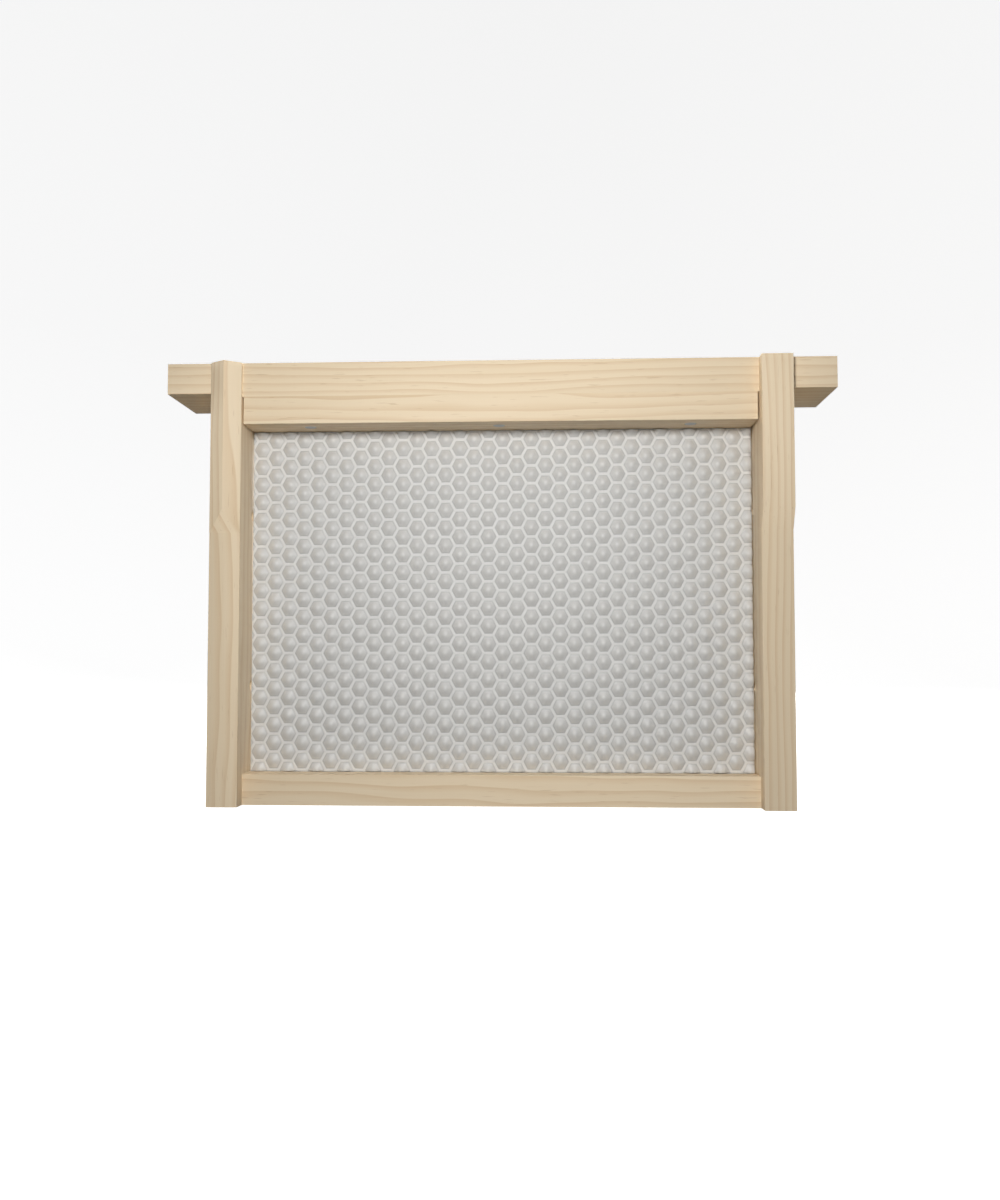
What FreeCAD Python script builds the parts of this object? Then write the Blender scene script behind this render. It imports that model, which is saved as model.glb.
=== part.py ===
import FreeCAD, Part
import math
import os
import re
import Sketcher
from FreeCAD import Placement, Rotation, Vector

# A small wooden hive frame that holds a sheet of embossed comb foundation.
# X runs along the top bar, Y through the frame from front to back, Z up.
# The origin is on the ground, midway between the end bars and on the sheet's middle plane.

SIZES = {
    # clear opening that the foundation fills
    "window_wide": 158.5,
    "window_high": 108.0,
    # end bars
    "end_thick": 9.5,
    "end_wide": 28.6,
    "shoulder_wide": 35.0,
    "shoulder_high": 46.0,
    "shoulder_taper": 7.0,
    "knife_deep": 3.0,
    "wire_hole_wide": 3.2,
    "wire_hole_inset": 27.0,
    # top bar and the wedge strip let into its underside
    "top_wide": 27.0,
    "top_thick": 19.0,
    "lug_long": 14.0,
    "lug_thick": 9.5,
    "neck_thick": 10.0,
    "neck_wide": 22.2,
    "wedge_high": 8.5,
    "wedge_end_gap": 0.5,
    # the two strips of the divided bottom bar
    "slat_high": 9.5,
    "slat_deep": 8.0,
    # foundation sheet
    "web_thick": 1.0,
    "floor_high": 1.1,
    "crown_share": 0.5,
    "land_wide": 0.8,
    "rim_wide": 0.4,
    "row_pitch": 5.654,
    "column_pitch": 4.529,
    "cell_shift_x": 0.88,
    "cell_shift_z": 0.22,
    "sheet_edge_gap": 0.4,
    "tongue_side_gap": 0.2,
    "tongue_top_gap": 0.3,
    "lower_tongue": 6.0,
    # nails
    "nail_wide": 1.6,
    "nail_tip": 2.4,
    "head_wide": 3.6,
    "head_thick": 0.8,
    "pilot_gap": 0.05,
    "head_gap": 0.15,
    "tip_gap": 0.5,
    "top_nail_long": 32.0,
    "top_nail_spread": 5.5,
    "side_nail_long": 30.0,
    "side_nail_offset": 9.0,
    "wedge_nail_long": 15.9,
    "wedge_nail_inset": 20.0,
    "foot_nail_long": 25.4,
}

# Levels and faces that several pieces share, as formulas of the sizes above.
TOP = "(slat_high + window_high + top_thick)"
TOP_UNDERSIDE = "(slat_high + window_high)"
LUG_UNDERSIDE = f"({TOP} - lug_thick)"
NECK_UNDERSIDE = f"({TOP} - neck_thick)"
INNER = "(window_wide / 2)"
OUTER = "(window_wide / 2 + end_thick)"
LUG_TIP = f"({OUTER} + lug_long)"
SLAT_INNER = "(web_thick / 2 + tongue_side_gap)"
SLAT_OUTER = f"({SLAT_INNER} + slat_deep)"
END_MIDDLE = "(window_wide / 2 + end_thick / 2)"

doc = FreeCAD.newDocument("hive_frame")
sheet = doc.addObject("Spreadsheet::Sheet", "sizes")
for row, (alias, value) in enumerate(SIZES.items(), start=1):
    sheet.set(f"A{row}", alias)
    sheet.set(f"B{row}", str(value))
    sheet.setAlias(f"B{row}", alias)
doc.recompute()

pieces = []


def tie(formula):
    """The formula as an expression on the sheet's cells."""
    return re.sub(r"[a-z]\w*", lambda word: "sizes." + word.group(), formula)


def size(alias):
    """A size read back from the sheet, for shapes that are set by code."""
    return float(sheet.get(alias))


def finish(piece, label):
    """Name a finished piece and keep it for writing."""
    piece.Label = label
    pieces.append(piece)
    return piece


def block(name, x_range, y_range, z_range):
    """A rectangular block between pairs of formulas."""
    solid = doc.addObject("Part::Box", name)
    ranges = (x_range, y_range, z_range)
    for side, axis, (low, high) in zip(("Length", "Width", "Height"), "xyz", ranges):
        solid.setExpression(side, tie(f"({high}) - ({low})"))
        solid.setExpression(f"Placement.Base.{axis}", tie(low))
    return solid


def cut(name, base, tools):
    """The base with every tool taken out of it."""
    waste = doc.addObject("Part::MultiFuse", name + "_waste")
    waste.Shapes = tools
    result = doc.addObject("Part::Cut", name)
    result.Base = base
    result.Tool = waste
    return result


def sketch_on(body, name, plane_role):
    """A sketch on one of the body's own origin planes."""
    drawing = body.newObject("Sketcher::SketchObject", name)
    planes = [plane for plane in body.Origin.OriginFeatures if plane.Role == plane_role]
    drawing.AttachmentSupport = [(planes[0], "")]
    drawing.MapMode = "FlatFace"
    return drawing


def pin_point(drawing, geometry, end, across, up):
    """Tie one sketch point to the sketch's origin with two driven distances."""
    for kind, axis_line, formula in (("DistanceX", -2, across), ("DistanceY", -1, up)):
        if formula == "0":
            drawing.addConstraint(Sketcher.Constraint("PointOnObject", geometry, end, axis_line))
            continue
        here = drawing.getPoint(geometry, end)
        now = here.x if kind == "DistanceX" else here.y
        index = drawing.addConstraint(Sketcher.Constraint(kind, -1, 1, geometry, end, now))
        drawing.setExpression(f"Constraints[{index}]", tie(formula))


def number(formula):
    """The present value of a formula, for a sketch's first positions."""
    names = {alias: size(alias) for alias in set(re.findall(r"[a-z]\w*", formula))}
    for alias, value in sorted(names.items(), key=lambda pair: -len(pair[0])):
        formula = re.sub(rf"\b{alias}\b", repr(value), formula)
    return FreeCAD.Units.Quantity(formula).Value


def outline(drawing, corners):
    """A closed outline of straight lines through corners given as pairs of formulas."""
    spots = [Vector(number(across), number(up), 0) for across, up in corners]
    lines = [
        drawing.addGeometry(Part.LineSegment(start, end), False)
        for start, end in zip(spots, spots[1:] + spots[:1])
    ]
    for this, following in zip(lines, lines[1:] + lines[:1]):
        drawing.addConstraint(Sketcher.Constraint("Coincident", this, 2, following, 1))
    for line, (across, up) in zip(lines, corners):
        pin_point(drawing, line, 1, across, up)


def circle(drawing, across, up, width):
    """A circle tied to the sketch's origin by its centre, and to the sheet by its width."""
    centre = Vector(number(across), number(up), 0)
    ring = drawing.addGeometry(Part.Circle(centre, Vector(0, 0, 1), number(width) / 2), False)
    pin_point(drawing, ring, 3, across, up)
    index = drawing.addConstraint(Sketcher.Constraint("Diameter", ring, number(width)))
    drawing.setExpression(f"Constraints[{index}]", tie(width))


# ---------------------------------------------------------------- nails

def nail(label, length, spot, direction):
    """A wire nail: flat head at the spot, shank along the direction, turned about its axis."""
    body = doc.addObject("PartDesign::Body", label)
    profile = sketch_on(body, label + "_profile", "XZ_Plane")
    outline(profile, [
        ("0", "0"),
        ("head_wide / 2", "0"),
        ("head_wide / 2", "head_thick"),
        ("nail_wide / 2", "head_thick"),
        ("nail_wide / 2", f"{length} - nail_tip"),
        ("0", length),
    ])
    turned = body.newObject("PartDesign::Revolution", label + "_turned")
    turned.Profile = profile
    turned.ReferenceAxis = (profile, ["V_Axis"])
    turned.Angle = 360
    body.Tip = turned
    aim(body, spot, direction)
    finish(body, label)
    return nail_hole(label, length, spot, direction)


def aim(item, spot, direction):
    """Put an item's own Z axis along the direction, starting at the spot."""
    item.Placement = Placement(Vector(), Rotation(Vector(0, 0, 1), Vector(*direction)))
    for axis, formula in zip("xyz", spot):
        item.setExpression(f"Placement.Base.{axis}", tie(formula))


def nail_hole(label, length, spot, direction):
    """The waste of a nail: its pilot hole and the seat that its head is driven into."""
    pilot = doc.addObject("Part::Cylinder", label + "_pilot")
    pilot.setExpression("Radius", tie("nail_wide / 2 + pilot_gap"))
    pilot.setExpression("Height", tie(f"{length} + tip_gap"))
    seat = doc.addObject("Part::Cylinder", label + "_seat")
    seat.setExpression("Radius", tie("head_wide / 2 + head_gap"))
    seat.setExpression("Height", tie("head_thick"))
    for tool in (pilot, seat):
        aim(tool, spot, direction)
    return [pilot, seat]


DOWN = (0, 0, -1)
UPWARD = (0, 0, 1)
SIDES = {"left": "-", "right": ""}
PLACES = {"front": "-", "rear": ""}

top_holes = {side: [] for side in SIDES}
side_holes = {side: [] for side in SIDES}
foot_holes = {"front": [], "rear": []}
end_foot_holes = {side: [] for side in SIDES}
wedge_holes = []

for side, sign in SIDES.items():
    inward = (1, 0, 0) if side == "left" else (-1, 0, 0)
    for place, toward in PLACES.items():
        spot = (f"{sign}{END_MIDDLE}", f"{toward}top_nail_spread", TOP)
        top_holes[side] += nail(f"top_nail_{side}_{place}", "top_nail_long", spot, DOWN)
    spot = (f"{sign}{OUTER}", "side_nail_offset", f"{TOP_UNDERSIDE} + (top_thick - neck_thick) / 2")
    side_holes[side] += nail(f"side_nail_{side}", "side_nail_long", spot, inward)
    for place, toward in PLACES.items():
        spot = (f"{sign}{END_MIDDLE}", f"{toward}({SLAT_INNER} + slat_deep / 2)", "0")
        holes = nail(f"bottom_nail_{side}_{place}", "foot_nail_long", spot, UPWARD)
        foot_holes[place] += holes
        end_foot_holes[side] += holes

wedge_nail_places = (
    ("left", "-(window_wide / 2 - wedge_nail_inset)"),
    ("middle", "0"),
    ("right", "window_wide / 2 - wedge_nail_inset"),
)
for place, along in wedge_nail_places:
    spot = (along, "-(top_wide + web_thick) / 4", TOP_UNDERSIDE)
    wedge_holes += nail(f"wedge_nail_{place}", "wedge_nail_long", spot, UPWARD)


# ---------------------------------------------------------------- wooden bars

def top_bar():
    """Full-depth bar with thin lugs, necks for the end bars' forks and a rebate for the wedge."""
    blank = block(
        "top_blank", (f"-{LUG_TIP}", LUG_TIP), ("-top_wide / 2", "top_wide / 2"), (TOP_UNDERSIDE, TOP)
    )
    waste = [block(
        "wedge_rebate",
        (f"-{INNER}", INNER),
        ("-top_wide / 2", "web_thick / 2"),
        (TOP_UNDERSIDE, f"{TOP_UNDERSIDE} + wedge_high"),
    )]
    for side, sign in SIDES.items():
        lug = (f"-{LUG_TIP}", f"-{OUTER}") if sign else (OUTER, LUG_TIP)
        neck = (f"-{OUTER}", f"-{INNER}") if sign else (INNER, OUTER)
        width = ("-top_wide / 2", "top_wide / 2")
        waste.append(block(f"under_lug_{side}", lug, width, (TOP_UNDERSIDE, LUG_UNDERSIDE)))
        waste.append(block(f"under_neck_{side}", neck, width, (TOP_UNDERSIDE, NECK_UNDERSIDE)))
        front = ("-top_wide / 2", "-neck_wide / 2")
        rear = ("neck_wide / 2", "top_wide / 2")
        waste.append(block(f"front_neck_{side}", neck, front, (TOP_UNDERSIDE, TOP)))
        waste.append(block(f"rear_neck_{side}", neck, rear, (TOP_UNDERSIDE, TOP)))
        waste += top_holes[side] + side_holes[side]
    waste += wedge_holes
    finish(cut("top_bar", blank, waste), "top_bar")


def wedge_strip():
    """Strip that clamps the foundation's upper tongue against the top bar."""
    end = f"({INNER} - wedge_end_gap)"
    blank = block(
        "wedge_blank",
        (f"-{end}", end),
        ("-top_wide / 2", "-web_thick / 2"),
        (TOP_UNDERSIDE, f"{TOP_UNDERSIDE} + wedge_high"),
    )
    finish(cut("wedge_strip", blank, wedge_holes), "wedge_strip")


def end_bar(side, sign):
    """Upright with a fork for the top bar, wide shoulders, a foot notch and two wire holes."""
    body = doc.addObject("PartDesign::Body", f"{side}_end_body")
    face = sketch_on(body, f"{side}_end_outline", "YZ_Plane")
    half = [
        (SLAT_OUTER, "slat_high"),
        (SLAT_OUTER, "0"),
        ("end_wide / 2", "0"),
        ("end_wide / 2", f"{TOP} - shoulder_high - shoulder_taper"),
        ("shoulder_wide / 2", f"{TOP} - shoulder_high"),
        ("shoulder_wide / 2", TOP),
        ("neck_wide / 2", TOP),
        ("neck_wide / 2", NECK_UNDERSIDE),
    ]
    outline(face, half + [(f"-({across})", up) for across, up in reversed(half)])
    sawn = body.newObject("PartDesign::Pad", f"{side}_end_sawn")
    sawn.Profile = face
    sawn.Reversed = sign == "-"
    sawn.setExpression("Length", tie("end_thick"))

    # The knife edge: one shoulder edge planed to a ridge, so that bees can't glue it flat.
    edge = PLACES["front"] if side == "left" else PLACES["rear"]
    plan = sketch_on(body, f"{side}_knife_plan", "XY_Plane")
    plan.setExpression("AttachmentOffset.Base.z", tie(TOP))
    for corner in ("0", f"{sign}end_thick"):
        outline(plan, [
            (corner, f"{edge}(shoulder_wide / 2)"),
            (f"{sign}end_thick / 2", f"{edge}(shoulder_wide / 2)"),
            (corner, f"{edge}(shoulder_wide / 2 - knife_deep)"),
        ])
    knife = body.newObject("PartDesign::Pocket", f"{side}_knife")
    knife.Profile = plan
    knife.setExpression("Length", tie("shoulder_high + shoulder_taper"))

    drilling = sketch_on(body, f"{side}_wire_plan", "YZ_Plane")
    levels = ("slat_high + wire_hole_inset", f"{TOP_UNDERSIDE} - wire_hole_inset")
    for level in levels:
        circle(drilling, "0", level, "wire_hole_wide")
    drilled = body.newObject("PartDesign::Pocket", f"{side}_wire_holes")
    drilled.Profile = drilling
    drilled.Type = 1
    drilled.Midplane = True
    body.Tip = drilled
    body.setExpression("Placement.Base.x", tie(f"{sign}{INNER}"))

    waste = top_holes[side] + side_holes[side] + end_foot_holes[side]
    finish(cut(f"{side}_end_bar", body, waste), f"{side}_end_bar")


def bottom_slat(place):
    """One strip of the divided bottom bar, nailed up into both end bars."""
    depth = (SLAT_INNER, SLAT_OUTER) if place == "rear" else (f"-{SLAT_OUTER}", f"-{SLAT_INNER}")
    blank = block(f"{place}_slat_blank", (f"-{OUTER}", OUTER), depth, ("0", "slat_high"))
    finish(cut(f"{place}_bottom_slat", blank, foot_holes[place]), f"{place}_bottom_slat")


# ---------------------------------------------------------------- foundation sheet

def clip_to(corners, low_x, high_x, low_z, high_z):
    """The part of a convex outline inside a rectangle, one side of the rectangle at a time."""
    for axis, limit, inward in ((0, low_x, 1), (0, high_x, -1), (1, low_z, 1), (1, high_z, -1)):
        kept = []
        for start, end in zip(corners, corners[1:] + corners[:1]):
            start_in = (start[axis] - limit) * inward
            end_in = (end[axis] - limit) * inward
            if start_in >= 0:
                kept.append(start)
            if (start_in < 0) != (end_in < 0):
                share = start_in / (start_in - end_in)
                kept.append(tuple(a + share * (b - a) for a, b in zip(start, end)))
        corners = kept
        if len(corners) < 3:
            return []
    return corners


def outline_area(corners):
    """The area inside a flat outline."""
    crosses = [a[0] * b[1] - b[0] * a[1] for a, b in zip(corners, corners[1:] + corners[:1])]
    return abs(sum(crosses)) / 2


def cell_outlines(half_wide, low_z, high_z, stagger):
    """Foot outlines of all cell floors on one face: hexagons in upright columns, each one half a
    row off its neighbours, with a plain land between them, cut off by the rim of the sheet."""
    row_pitch = size("row_pitch")
    column_pitch = size("column_pitch")
    rim = size("rim_wide")
    shrink = 1 - size("land_wide") / row_pitch
    tall = shrink * row_pitch / math.sqrt(3)
    wide = shrink * column_pitch * 2 / 3
    middle_z = (low_z + high_z) / 2 + size("cell_shift_z") + stagger * row_pitch
    columns = math.ceil(half_wide / column_pitch) + 1
    rows = math.ceil((high_z - low_z) / 2 / row_pitch) + 2
    smallest = 0.05 * row_pitch * column_pitch
    outlines = []
    for column in range(-columns, columns + 1):
        for row in range(-rows, rows + 1):
            x = size("cell_shift_x") + column * column_pitch
            z = middle_z + (row + 0.5 * (column % 2)) * row_pitch
            corners = [
                (x + wide * math.cos(turn * math.pi / 3), z + tall * math.sin(turn * math.pi / 3))
                for turn in range(6)
            ]
            inside = (-half_wide + rim, half_wide - rim, low_z + rim, high_z - rim)
            corners = clip_to(corners, *inside)
            if corners and outline_area(corners) > smallest:
                outlines.append(corners)
    return outlines


def drawn_in(corners, share):
    """The outline scaled by a share about the mean of its corners."""
    middle_x = sum(x for x, z in corners) / len(corners)
    middle_z = sum(z for x, z in corners) / len(corners)
    return [(middle_x + share * (x - middle_x), middle_z + share * (z - middle_z)) for x, z in corners]


def flat_face(points):
    """A face inside a closed run of points."""
    return Part.Face(Part.makePolygon([Vector(*point) for point in points + points[:1]]))


def at_depth(corners, y):
    """The corners of an outline as points in the plane at depth y."""
    return [(x, y, z) for x, z in corners]


def foundation_sheet():
    """A flat web whose two faces carry a cell pattern: every cell floor stands out as a low
    six-sided bulge, and the lands between the bulges draw the cells. Its faces are made one by one
    and sewn. The rear cells sit half a row off the front ones, and plain tongues run on above and
    below the pattern."""
    web = size("web_thick") / 2
    crown = web + size("floor_high")
    half = size("window_wide") / 2 - size("sheet_edge_gap")
    low = size("slat_high")
    high = size("slat_high") + size("window_high")
    foot = low - size("lower_tongue")
    head = high + size("wedge_high") - size("tongue_top_gap")
    edge = [(-half, foot), (half, foot), (half, head), (-half, head)]

    faces = []
    for outward, stagger in ((-1, 0.0), (1, 0.5)):
        web_y = outward * web
        crown_y = outward * crown
        cells = cell_outlines(half, low, high, stagger)
        rings = [Part.makePolygon([Vector(*point) for point in at_depth(ring + ring[:1], web_y)])
                 for ring in [edge] + [corners[::-1] for corners in cells]]
        faces.append(Part.Face(rings))
        for corners in cells:
            foot_ring = at_depth(corners, web_y)
            crown_ring = at_depth(drawn_in(corners, size("crown_share")), crown_y)
            faces.append(flat_face(crown_ring))
            for turn in range(len(corners)):
                after = (turn + 1) % len(corners)
                faces.append(flat_face(
                    [foot_ring[turn], foot_ring[after], crown_ring[after], crown_ring[turn]]
                ))
    for (x0, z0), (x1, z1) in zip(edge, edge[1:] + edge[:1]):
        faces.append(flat_face([(x0, -web, z0), (x1, -web, z1), (x1, web, z1), (x0, web, z0)]))

    skin = Part.makeCompound(faces)
    skin.sewShape(1e-5)
    solid = Part.Solid(skin.Shells[0])
    if solid.Volume < 0:
        solid.reverse()
    piece = doc.addObject("Part::Feature", "foundation_sheet")
    piece.Shape = solid
    finish(piece, "foundation_sheet")


top_bar()
wedge_strip()
for side, sign in SIDES.items():
    end_bar(side, sign)
for place in ("front", "rear"):
    bottom_slat(place)
foundation_sheet()
doc.recompute()

faults = [item.Name for item in doc.Objects if {"Invalid", "Error"} & set(item.State)]
faults += [piece.Label for piece in pieces if piece.Shape.isNull() or not piece.Shape.isValid()]
if faults:
    raise RuntimeError("failed pieces: " + ", ".join(faults))

os.makedirs("parts", exist_ok=True)
for piece in pieces:
    piece.Shape.exportStep(f"parts/{piece.Label}.step")
    print(piece.Label, len(piece.Shape.Solids), "solid", round(piece.Shape.Volume, 1), "mm3")
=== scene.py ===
import math

import bmesh
import bpy
import numpy as np
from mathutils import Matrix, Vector


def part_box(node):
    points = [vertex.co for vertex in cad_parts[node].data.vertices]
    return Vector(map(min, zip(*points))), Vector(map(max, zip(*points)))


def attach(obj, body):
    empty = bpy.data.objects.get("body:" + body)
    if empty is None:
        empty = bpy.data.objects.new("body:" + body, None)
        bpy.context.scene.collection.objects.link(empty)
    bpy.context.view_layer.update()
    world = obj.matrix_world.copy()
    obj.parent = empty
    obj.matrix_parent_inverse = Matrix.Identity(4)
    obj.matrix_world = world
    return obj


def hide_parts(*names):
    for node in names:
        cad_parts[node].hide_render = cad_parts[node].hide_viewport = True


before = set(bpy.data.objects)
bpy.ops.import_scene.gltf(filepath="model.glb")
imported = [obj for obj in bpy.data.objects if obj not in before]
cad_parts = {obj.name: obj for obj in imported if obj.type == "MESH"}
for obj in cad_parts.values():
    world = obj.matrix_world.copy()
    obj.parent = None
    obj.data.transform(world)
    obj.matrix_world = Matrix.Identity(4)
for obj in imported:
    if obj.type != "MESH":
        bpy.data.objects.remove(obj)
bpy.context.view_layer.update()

MM = 0.001

# The cell pattern of the foundation, the same as the CAD sheet's.
ROW_PITCH = 5.654 * MM
COLUMN_PITCH = 4.529 * MM
CELL_SHIFT = (0.88 * MM, 0.22 * MM)
WEB_HALF = 0.5 * MM

# The relief of one cell: a domed floor inside a rounded land. The land's crest is a little below
# the dome's foot in the middle of a cell's side, and above it at the corners.
LAND_HIGH = 0.17 * MM
LAND_ROUND = 0.07 * MM
LAND_HALF = 0.42 * MM
LAND_LIP = 0.07 * MM
LAND_FLANK = 0.13 * MM
DOME_ROUND = 1.52 * MM
DOME_SHOULDER = -0.32 * MM
DOME_REACH = 2.83 * MM
DOME_FOOT = -0.115 * MM
CREASE = math.radians(72)

# How the skins end: short of the wood above and below, with a skirt that reaches into the web.
SHORT_OF_WOOD = 0.15 * MM
SKIRT_REACH = 0.8 * WEB_HALF
MERGE = 0.002 * MM

# The painted highlight that makes the lands paler and the painted shade in the valley round each
# floor, in millimetres from a cell's outline.
PAINTED_HIGHLIGHT_AND_DULL_FROM, PAINTED_HIGHLIGHT_AND_DULL_FULL = 0.50, 0.33
PAINTED_SHADE_AT, PAINTED_SHADE_FROM, PAINTED_SHADE_FULL = 0.60, 0.27, 0.04

# The rounding of the bars' edges and of the nails'.
BAR_EDGE = 0.3 * MM
NAIL_EDGE = 0.1 * MM

# The net of grooves on a nail's head.
HEAD_GROOVE_PITCH = 0.62 * MM

# Where the opening of the frame lies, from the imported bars.
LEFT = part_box("left_end_bar")[1][0]
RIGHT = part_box("right_end_bar")[0][0]
FLOOR_OF_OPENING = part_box("front_bottom_slat")[1][2]
HEAD_OF_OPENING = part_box("wedge_strip")[0][2]
MIDDLE = Vector(((LEFT + RIGHT) / 2, 0.0, (FLOOR_OF_OPENING + HEAD_OF_OPENING) / 2))


# ------------------------------------------------------------------ shader arithmetic

class Shade:
    """One output in a node tree. Arithmetic on it adds Math nodes; make adds any other node."""

    def __init__(self, tree, socket=None):
        self.tree = tree
        self.socket = socket

    def make(self, kind, settings, inputs, out=0):
        """Add a node: its settings first, then the values or links of its sockets."""
        node = self.tree.nodes.new(kind)
        for name, value in settings.items():
            if name == "stops":
                while len(node.color_ramp.elements) < len(value):
                    node.color_ramp.elements.new(0.5)
                for element, (place, colour) in zip(node.color_ramp.elements, value):
                    element.position = place
                    element.color = (*colour, 1.0)
            else:
                setattr(node, name, value)
        for name, value in inputs.items():
            if isinstance(value, Shade):
                self.tree.links.new(value.socket, node.inputs[name])
            else:
                node.inputs[name].default_value = value
        return Shade(self.tree, node.outputs[out])

    def math(self, operation, other=0.0):
        return self.make("ShaderNodeMath", {"operation": operation}, {0: self, 1: other})

    def __add__(self, other):
        return self.math("ADD", other)

    __radd__ = __add__

    def __mul__(self, other):
        return self.math("MULTIPLY", other)

    __rmul__ = __mul__

    def __sub__(self, other):
        return self.math("SUBTRACT", other)

    def __rsub__(self, other):
        return self * -1.0 + other

    def __truediv__(self, other):
        return self.math("DIVIDE", other)

    def __pow__(self, power):
        return self.math("POWER", power)

    def fraction(self):
        return self.math("FRACT")

    def size(self):
        return self.math("ABSOLUTE")

    def least(self, other):
        return self.math("MINIMUM", other)

    def most(self, other):
        return self.math("MAXIMUM", other)

    def wave(self):
        return self.math("SINE")

    def between(self, start, end):
        """A share that runs from 0 at the start value to 1 at the end value, and stays there."""
        limits = {0: self, 1: start, 2: end, 3: 0.0, 4: 1.0}
        return self.make("ShaderNodeMapRange", {}, limits)

    def noise(self, where, scale, detail=2.0):
        """Smooth noise from 0 to 1 at a place."""
        return self.make(
            "ShaderNodeTexNoise", {}, {"Vector": where, "Scale": scale, "Detail": detail}
        )

    def mix(self, share, one, other):
        """A colour between two colours."""
        settings = {"data_type": "RGBA"}
        return self.make("ShaderNodeMix", settings, {0: share, 6: one, 7: other}, out=2)

    def bump(self, height, strength, distance):
        """A surface normal roughened by a height."""
        inputs = {"Height": height, "Strength": strength, "Distance": distance}
        return self.make("ShaderNodeBump", {}, inputs)


def new_material(name):
    """An empty node material: its tree's shade and its shader's inputs."""
    material = bpy.data.materials.new(name)
    material.use_nodes = True
    return material, Shade(material.node_tree), material.node_tree.nodes["Principled BSDF"].inputs


def connect(shade, **inputs):
    """Link shades into the shader's sockets, named with underscores for spaces."""
    shader = shade.tree.nodes["Principled BSDF"]
    for name, value in inputs.items():
        shade.tree.links.new(value.socket, shader.inputs[name.replace("_", " ")])


# ------------------------------------------------------------------ materials

def distance_from_land(shade, place, stagger):
    """Millimetres from the nearest outline of a cell. The middles of the cells form two oblong
    lattices, each in the gaps of the other. A cell made regular has the six-sided measure
    max(|z|, |x| sin 60 + |z| / 2), and the smaller of the two measures belongs to the cell."""
    split = shade.make("ShaderNodeSeparateXYZ", {}, {"Vector": place}).socket.node.outputs
    across = (Shade(shade.tree, split["X"]) - (MIDDLE.x + CELL_SHIFT[0])) / (2 * COLUMN_PITCH)
    up = (Shade(shade.tree, split["Z"]) - (MIDDLE.z + CELL_SHIFT[1])) / ROW_PITCH - stagger
    row = ROW_PITCH / MM
    measures = []
    for step in (0.0, 0.5):
        x = ((across - step + 0.5).fraction() - 0.5).size()
        z = ((up - step + 0.5).fraction() - 0.5).size()
        measures.append((x * (row * 1.5) + z * (row * 0.5)).most(z * row))
    return row / 2 - measures[0].least(measures[1])


def comb_plastic(side, stagger):
    """Off-white satin plastic, faintly cloudy, with the fine skin of a mould. The lands are duller
    than the floors, and a painted highlight makes them paler; painted shade makes the valley round
    each floor darker."""
    material, shade, shader = new_material("comb plastic, " + side)
    place = shade.make("ShaderNodeTexCoord", {}, {}, out=3)
    wobble = shade.noise(place, 260.0, 2.0) - 0.5
    away = distance_from_land(shade, place, stagger) + 0.16 * wobble
    cloud = shade.noise(place, 60.0, 3.0)
    speck = shade.noise(place, 1400.0, 2.0)
    mottle = shade.noise(place, 3600.0, 1.0).between(0.30, 0.75)
    # Painted highlight: this land mask makes the lands' colour paler, standing in for the light
    # their crests catch; it also makes them duller.
    crest = away.between(PAINTED_HIGHLIGHT_AND_DULL_FROM, PAINTED_HIGHLIGHT_AND_DULL_FULL) * (0.62 + 0.60 * speck)
    # Painted shade: a ring darkened in the valley round each floor, where shade falls.
    painted_shade_ring = (away - PAINTED_SHADE_AT).size().between(PAINTED_SHADE_FROM, PAINTED_SHADE_FULL)
    tone = shade.mix(cloud, (0.592, 0.584, 0.558, 1), (0.648, 0.640, 0.612, 1))
    tone = shade.mix(mottle * 0.30, tone, (0.545, 0.537, 0.515, 1))
    # Painted highlight: the lands are given a paler colour.
    tone = shade.mix(crest, tone, (0.722, 0.714, 0.688, 1))
    # Painted shade: the valley round each floor is given a darker colour.
    tone = shade.mix(painted_shade_ring * 0.5, tone, (0.420, 0.412, 0.392, 1))
    rough = 0.46 + 0.08 * speck + 0.24 * crest
    skin = shade.bump(speck + 0.6 * shade.noise(place, 520.0), 0.20, 0.00003)
    connect(shade, Base_Color=tone, Roughness=rough, Normal=skin)
    shader["Specular IOR Level"].default_value = 1.0
    shader["Subsurface Weight"].default_value = 0.05
    shader["Subsurface Radius"].default_value = (0.9, 0.9, 0.8)
    shader["Subsurface Scale"].default_value = 0.0012
    return material


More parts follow.
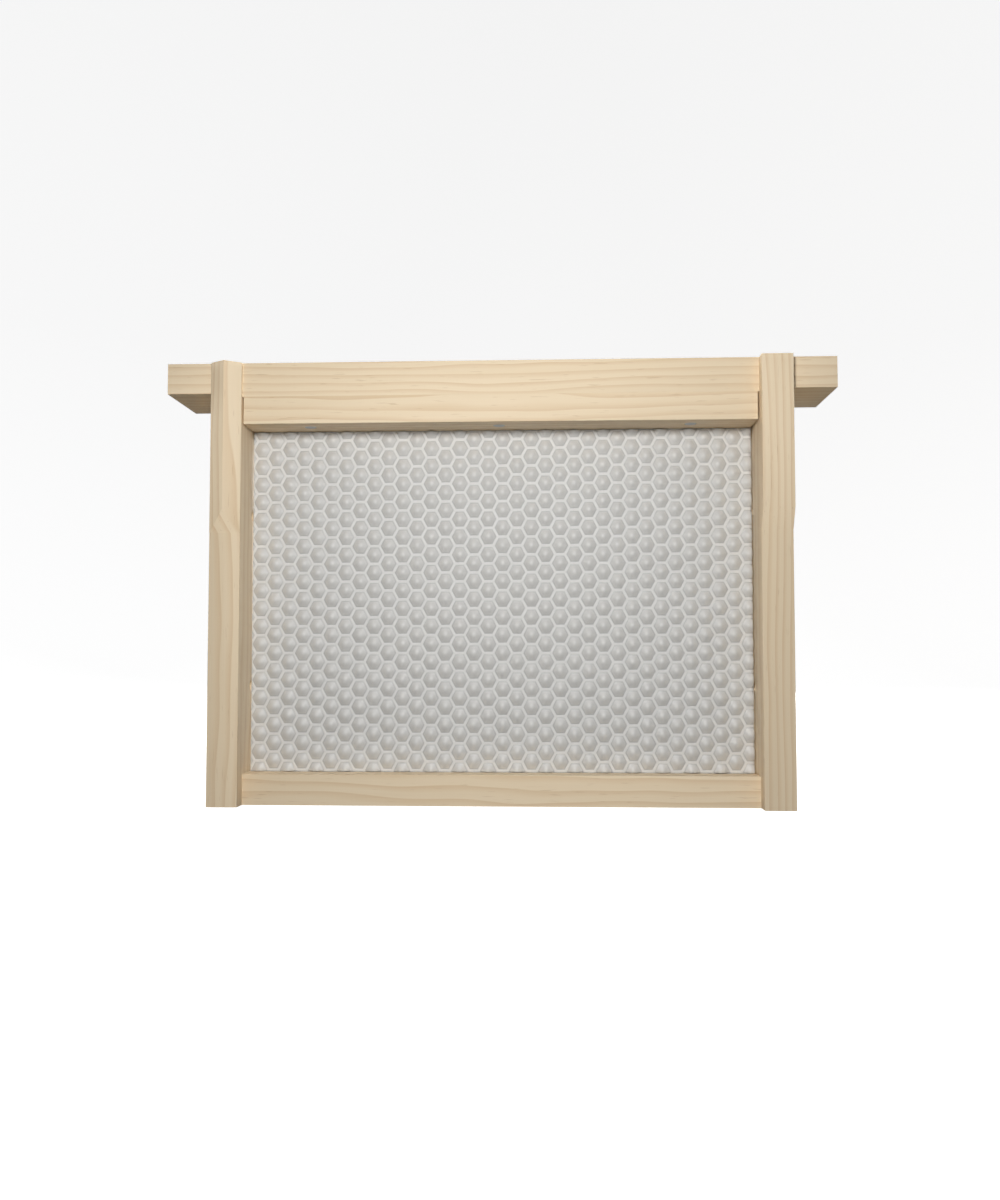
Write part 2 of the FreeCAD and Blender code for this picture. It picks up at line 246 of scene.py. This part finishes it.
def pale_pine(name, along, heart, ring=2.3):
    """Planed pine. Growth rings are cylinders about a heart that lies beside the bar, so flat
    faces show long figures and cut ends show arcs; fibres and flecks run along the bar."""
    material, shade, shader = new_material(name)
    place = shade.make("ShaderNodeTexCoord", {}, {}, out=3)
    axes = {"X": "YZ", "Z": "XY"}[along]
    split = shade.make("ShaderNodeSeparateXYZ", {}, {"Vector": place})
    sockets = split.socket.node.outputs
    far, near = (Shade(shade.tree, sockets[axis]) * 1000.0 for axis in axes)
    length = Shade(shade.tree, sockets[along]) * 1000.0

    def at(run, cross):
        """A place squeezed along the bar, so that what is drawn there is stretched."""
        return shade.make(
            "ShaderNodeCombineXYZ", {}, {0: length * run, 1: far * cross, 2: near * cross}
        )

    wander = shade.noise(at(0.012, 0.05), 1.0, 2.0)
    across = ((far - heart[0]) ** 2.0 + (near - heart[1]) ** 2.0) ** 0.5
    rings = (across + 7.0 * wander) / ring
    band = rings.fraction()
    late = shade.make("ShaderNodeValToRGB", {"stops": (
        (0.0, (0.10, 0.10, 0.10)), (0.45, (0.16, 0.16, 0.16)), (0.86, (0.85, 0.85, 0.85)),
        (0.93, (1.0, 1.0, 1.0)), (1.0, (0.10, 0.10, 0.10)),
    )}, {"Fac": band})
    fibre = shade.noise(at(0.06, 3.2), 1.0, 3.0)
    streak = shade.noise(at(0.02, 0.7), 1.0, 2.0)
    fleck = shade.make("ShaderNodeValToRGB", {"stops": (
        (0.0, (0, 0, 0)), (0.68, (0, 0, 0)), (0.76, (1, 1, 1)),
    )}, {"Fac": shade.noise(at(0.16, 2.1), 1.0, 1.0)})
    early_wood = (0.800, 0.640, 0.430, 1)
    late_wood = (0.640, 0.430, 0.225, 1)
    pale = shade.mix(streak, early_wood, (0.860, 0.720, 0.520, 1))
    figured = shade.mix(late * (0.25 + 0.7 * streak), pale, late_wood)
    fibrous = shade.mix(fibre * 0.35, figured, (0.86, 0.74, 0.56, 1))
    tone = shade.mix(fleck * 0.28, fibrous, (0.47, 0.29, 0.14, 1))
    rough = 0.50 + 0.22 * fibre
    planed = (length * 4.2 + 2.0 * wander).wave()
    height = 0.9 * fibre + 0.35 * late - 0.4 * fleck + 0.05 * planed
    grain = shade.bump(height, 0.35, 0.00008)
    connect(shade, Base_Color=tone, Roughness=rough, Normal=grain)
    shader["Specular IOR Level"].default_value = 0.35
    return material


def zinc_steel():
    """Zinc-coated nail wire: grey metal with a fine spangle. A square net of shallow grooves
    crosses the flat heads, as the heading tool leaves them."""
    material, shade, shader = new_material("zinc-coated steel")
    place = shade.make("ShaderNodeTexCoord", {}, {}, out=3)
    spangle = shade.noise(place, 2600.0, 3.0)
    tone = shade.mix(spangle, (0.42, 0.42, 0.42, 1), (0.66, 0.66, 0.65, 1))
    rough = 0.28 + 0.25 * spangle
    axes = shade.make("ShaderNodeSeparateXYZ", {}, {"Vector": place}).socket.node.outputs
    grooves = 0.15 * spangle
    for axis in "XYZ":
        across = Shade(shade.tree, axes[axis]) * (math.pi / HEAD_GROOVE_PITCH)
        grooves = grooves + across.wave().size().between(0.0, 0.45)
    connect(shade, Base_Color=tone, Roughness=rough, Normal=shade.bump(grooves, 0.7, 0.00004))
    shader["Metallic"].default_value = 1.0
    return material


def studio_white():
    """Pale paper of the floor and backdrop."""
    material, shade, shader = new_material("studio paper")
    shader["Base Color"].default_value = (0.93, 0.93, 0.93, 1)
    shader["Roughness"].default_value = 0.9
    shader["Specular IOR Level"].default_value = 0.1
    shader["Emission Color"].default_value = (1, 1, 1, 1)
    shader["Emission Strength"].default_value = 0.74
    return material


# ------------------------------------------------------------------ meshes

def mesh_object(name, spots, faces, smooth=True):
    """An object from an array of points and lists of faces, in place and at the origin."""
    mesh = bpy.data.meshes.new(name)
    mesh.from_pydata(spots.tolist(), [], faces)
    mesh.update()
    if smooth:
        mesh.shade_smooth()
    piece = bpy.data.objects.new(name, mesh)
    bpy.context.scene.collection.objects.link(piece)
    return piece


def edit(piece):
    """The piece's mesh, opened for editing."""
    shape = bmesh.new()
    shape.from_mesh(piece.data)
    return shape


def put_back(shape, piece):
    """Close the edit and write it to the piece."""
    shape.to_mesh(piece.data)
    shape.free()
    piece.data.update()


def cell_height(x, z):
    """Height of the relief at a place in one cell, measured in a cell made regular: over the
    floor it is a dome, a square plus a fourth power of the distance from the cell's middle; near
    the cell's outline it turns by a smooth step into the land, whose crest is a flat parabola."""
    outline = np.maximum.reduce([
        np.abs(z), np.abs(z / 2 + x * math.sqrt(3) / 2), np.abs(z / 2 - x * math.sqrt(3) / 2)
    ])
    from_line = ROW_PITCH / 2 - outline
    reach = np.hypot(x, z) / DOME_REACH
    dome = DOME_FOOT + DOME_ROUND * (1 - reach ** 2) + DOME_SHOULDER * (1 - reach ** 4)
    land = LAND_HIGH - LAND_ROUND * np.clip(from_line / LAND_HALF, 0, 1) ** 2
    step = np.clip((from_line - LAND_HALF) / LAND_FLANK, 0, 1)
    step = step * step * (3 - 2 * step)
    return land * (1 - step) + dome * step


def cell_template():
    """Points of one cell as rings that turn from its six-sided outline to a circle, each with
    twelve points, and a middle point; and the faces between them."""
    turns = np.arange(12) * math.pi / 6
    apothem = ROW_PITCH / 2
    outline = np.where(np.arange(12) % 2 == 0, apothem / math.cos(math.pi / 6), apothem)
    rings = (
        (1.0, 0.0),
        (1 - (LAND_HALF - LAND_LIP) / apothem, 0.0),
        (1 - LAND_HALF / apothem, 0.0),
        (1 - (LAND_HALF + LAND_FLANK) / apothem, 0.0),
        (0.53, 0.5),
        (0.25, 1.0),
    )  # each: its share of the outline's size, and how far it is turned into a circle
    radii = [share * ((1 - rounding) * outline + rounding * apothem) for share, rounding in rings]
    x = np.concatenate([radius * np.cos(turns) for radius in radii] + [[0.0]])
    z = np.concatenate([radius * np.sin(turns) for radius in radii] + [[0.0]])
    faces = []
    for ring in range(len(rings) - 1):
        for turn in range(12):
            after = (turn + 1) % 12
            faces.append((
                ring * 12 + turn, ring * 12 + after,
                (ring + 1) * 12 + after, (ring + 1) * 12 + turn,
            ))
    last = (len(rings) - 1) * 12
    middle = len(rings) * 12
    quads = np.array(faces)
    fan = np.array([(last + turn, last + (turn + 1) % 12, middle) for turn in range(12)])
    return x, z, quads, fan


def relief_skin(name, outward, stagger):
    """One face of the foundation: the cell repeated over the opening, trimmed to the opening
    with straight cuts, and closed behind by a skirt and a flat back inside the web."""
    x, z, quads, fan = cell_template()
    height = cell_height(x, z)
    squeeze = COLUMN_PITCH / (ROW_PITCH * math.sqrt(3) / 2)
    columns, rows = np.meshgrid(np.arange(-19, 20), np.arange(-12, 13))
    columns = columns.ravel()
    rows = rows.ravel()
    middle_x = MIDDLE.x + CELL_SHIFT[0] + columns * COLUMN_PITCH
    middle_z = MIDDLE.z + CELL_SHIFT[1] + (rows + stagger + 0.5 * (columns % 2)) * ROW_PITCH
    spots = np.empty((len(columns), len(x), 3))
    spots[:, :, 0] = middle_x[:, None] + x * squeeze
    spots[:, :, 1] = outward * (WEB_HALF + height)
    spots[:, :, 2] = middle_z[:, None] + z
    offsets = np.arange(len(columns))[:, None, None] * len(x)
    if outward > 0:
        quads = quads[:, ::-1]
        fan = fan[:, ::-1]
    faces = (quads + offsets).reshape(-1, 4).tolist() + (fan + offsets).reshape(-1, 3).tolist()
    piece = mesh_object(name, spots.reshape(-1, 3), faces)

    low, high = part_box("foundation_sheet")
    shape = edit(piece)
    bmesh.ops.remove_doubles(shape, verts=shape.verts, dist=MERGE)
    for edge in shape.edges:
        if edge.is_manifold and edge.calc_face_angle() > CREASE and not edge.is_convex:
            edge.smooth = False
    cuts = (
        ((low[0], 0, 0), (-1, 0, 0)), ((high[0], 0, 0), (1, 0, 0)),
        ((0, 0, FLOOR_OF_OPENING + SHORT_OF_WOOD), (0, 0, -1)),
        ((0, 0, HEAD_OF_OPENING - SHORT_OF_WOOD), (0, 0, 1)),
    )
    for spot, away in cuts:
        everything = shape.verts[:] + shape.edges[:] + shape.faces[:]
        bmesh.ops.bisect_plane(
            shape, geom=everything, plane_co=spot, plane_no=away, clear_outer=True, dist=1e-7
        )
    rim = [edge for edge in shape.edges if edge.is_boundary]
    skirt = bmesh.ops.extrude_edge_only(shape, edges=rim)["geom"]
    for vert in (item for item in skirt if isinstance(item, bmesh.types.BMVert)):
        vert.co.y = outward * SKIRT_REACH
    rim = [item for item in skirt if isinstance(item, bmesh.types.BMEdge) and item.is_boundary]
    back = bmesh.ops.contextual_create(shape, geom=rim)["faces"]
    for face in back + [face for edge in rim for face in edge.link_faces]:
        face.smooth = False
    bmesh.ops.recalc_face_normals(shape, faces=shape.faces)
    put_back(shape, piece)
    return piece


def web_plate(name):
    """The web between the two skins: a plate whose outline is drawn at several depths, each with
    its own inset, so that its long edges are rounded like a moulded sheet's."""
    low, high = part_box("foundation_sheet")
    rounding = ((0.20, -0.50), (0.06, -0.44), (0.0, -0.30), (0.0, 0.30), (0.06, 0.44), (0.20, 0.50))
    spots = []
    for inset, depth in rounding:
        left, right = low[0] + inset * MM, high[0] - inset * MM
        bottom, top = low[2] + inset * MM, high[2] - inset * MM
        for x, z in ((left, bottom), (right, bottom), (right, top), (left, top)):
            spots.append((x, depth * MM, z))
    faces = [(0, 1, 2, 3), (23, 22, 21, 20)]
    for ring in range(len(rounding) - 1):
        for corner in range(4):
            after = (corner + 1) % 4
            first, second = 4 * ring, 4 * ring + 4
            faces.append((first + after, first + corner, second + corner, second + after))
    return mesh_object(name, np.array(spots), faces, smooth=False)


def eased_copy(node, name, width):
    """A CAD piece with its sharp edges eased: its triangles are merged into plain faces, then a
    narrow rounded bevel runs along every edge."""
    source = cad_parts[node]
    piece = bpy.data.objects.new(name, source.data.copy())
    bpy.context.scene.collection.objects.link(piece)
    piece.data.materials.clear()
    shape = edit(piece)
    bmesh.ops.remove_doubles(shape, verts=shape.verts, dist=0.001 * MM)
    bmesh.ops.dissolve_limit(
        shape, angle_limit=math.radians(0.5), verts=shape.verts, edges=shape.edges
    )
    put_back(shape, piece)
    piece.data.shade_smooth()
    bevel = piece.modifiers.new("eased edges", "BEVEL")
    bevel.width = width
    bevel.segments = 3
    bevel.limit_method = "ANGLE"
    bevel.angle_limit = math.radians(40)
    bevel.harden_normals = True
    return piece


def place_on(piece, node, material):
    """Let a finished piece stand for a CAD node, with its material."""
    piece.data.materials.clear()
    piece.data.materials.append(material)
    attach(piece, "root")
    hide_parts(node)


# ------------------------------------------------------------------ camera, stage and light

PIXELS_PER_METRE = 3166.7
CAMERA_FAR = 0.340
CAMERA_TURN = math.radians(2.6)
CAMERA_RISE = math.radians(-2.9)
IMAGE_LONG_SIDE = 1200
SENSOR = 36.0


def aim(thing, spot, target):
    """Stand a thing at a spot, looking at a target."""
    thing.location = spot
    thing.rotation_mode = "QUATERNION"
    thing.rotation_quaternion = (Vector(target) - Vector(spot)).to_track_quat("-Z", "Y")


def set_camera():
    """A camera square on to the opening, a little to the right and below."""
    camera = bpy.data.cameras.new("camera")
    camera.sensor_width = SENSOR
    camera.lens = PIXELS_PER_METRE * CAMERA_FAR * SENSOR / IMAGE_LONG_SIDE
    camera.clip_start = 0.01
    stand = bpy.data.objects.new("camera", camera)
    bpy.context.scene.collection.objects.link(stand)
    away = Vector((
        math.sin(CAMERA_TURN) * math.cos(CAMERA_RISE),
        -math.cos(CAMERA_TURN) * math.cos(CAMERA_RISE),
        math.sin(CAMERA_RISE),
    ))
    aim(stand, MIDDLE + away * CAMERA_FAR, MIDDLE)
    bpy.context.scene.camera = stand


def disc_light(name, spot, target, across, power, colour=(1, 1, 1)):
    """A round soft light."""
    light = bpy.data.lights.new(name, "AREA")
    light.shape = "DISK"
    light.size = across
    light.energy = power
    light.color = colour
    lamp = bpy.data.objects.new(name, light)
    bpy.context.scene.collection.objects.link(lamp)
    aim(lamp, spot, target)
    lamp.visible_camera = False


def backdrop():
    """A round cove of seamless paper: a flat floor, then a quarter turn up into a wall, turned
    round the upright axis so that every side of the frame has paper behind it."""
    bend = 0.6
    flat = 1.3
    turn = np.linspace(0, math.pi / 2, 17)
    reach = np.concatenate([[0.3], flat + bend * np.sin(turn), [flat + bend]])
    height = np.concatenate([[0.0], bend * (1 - np.cos(turn)), [3.0]])
    round_turns = 64
    angle = np.arange(round_turns) * 2 * math.pi / round_turns
    spots = np.empty((len(reach), round_turns, 3))
    spots[:, :, 0] = reach[:, None] * np.cos(angle)
    spots[:, :, 1] = reach[:, None] * np.sin(angle)
    spots[:, :, 2] = height[:, None]
    faces = [tuple(range(round_turns))]
    for ring in range(len(reach) - 1):
        for step in range(round_turns):
            after = (step + 1) % round_turns
            near, far = ring * round_turns, (ring + 1) * round_turns
            faces.append((near + after, near + step, far + step, far + after))
    paper = mesh_object("backdrop", spots.reshape(-1, 3), faces)
    paper.data.materials.append(studio_white())
    paper.visible_diffuse = False
    paper.visible_glossy = False


def set_world(strength):
    """Even light from all round."""
    world = bpy.data.worlds.new("studio")
    bpy.context.scene.world = world
    world.use_nodes = True
    background = world.node_tree.nodes["Background"]
    background.inputs["Color"].default_value = (1, 1, 1, 1)
    background.inputs["Strength"].default_value = strength


bpy.context.scene.view_settings.view_transform = "Standard"
set_camera()
backdrop()
set_world(0.16)
disc_light("lamp over the camera", MIDDLE + Vector((-0.0045, -0.265, 0.079)), MIDDLE, 0.06, 0.55)
disc_light(
    "cool light from the right", MIDDLE + Vector((0.42, -0.30, -0.12)), MIDDLE, 0.25, 0.22,
    (0.66, 0.76, 1.0),
)
for name, away, power, colour in (
    ("soft light above", (0.0, 0.22, 0.95), 5.0, (1.0, 1.0, 1.0)),
    ("soft light behind", (0.25, 0.95, 0.30), 6.0, (1.0, 1.0, 1.0)),
    ("soft light at the left", (-0.90, 0.30, 0.20), 4.5, (1.0, 0.98, 0.95)),
    ("soft light at the right", (0.90, 0.30, 0.20), 4.5, (0.95, 0.97, 1.0)),
):
    disc_light(name, MIDDLE + Vector(away), MIDDLE, 0.6, power, colour)

# ------------------------------------------------------------------ the frame and its sheet

for side, outward, stagger in (("front", -1, 0.0), ("rear", 1, 0.5)):
    skin = relief_skin(f"foundation_{side}", outward, stagger)
    plastic = comb_plastic(side, stagger)
    place_on(skin, "foundation_sheet", plastic)

web = web_plate("foundation_web")
place_on(web, "foundation_sheet", plastic)

BARS = {
    "top_bar": ("bar_pine", "X", (-31.0, 92.0)),
    "wedge_strip": ("bar_pine", "X", (22.0, 148.0)),
    "front_bottom_slat": ("bar_pine", "X", (-38.0, -21.0)),
    "rear_bottom_slat": ("bar_pine", "X", (33.0, 30.0)),
    "left_end_bar": ("end_pine", "Z", (-112.0, 16.0)),
    "right_end_bar": ("end_pine", "Z", (109.0, -19.0)),
}
for node, (slot, along, heart) in BARS.items():
    bar = eased_copy(node, node + "_wood", BAR_EDGE)
    place_on(bar, node, pale_pine(node + " pine", along, heart))

steel = zinc_steel()
for node in [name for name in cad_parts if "nail" in name]:
    nail = eased_copy(node, node + "_turned", NAIL_EDGE)
    place_on(nail, node, steel)
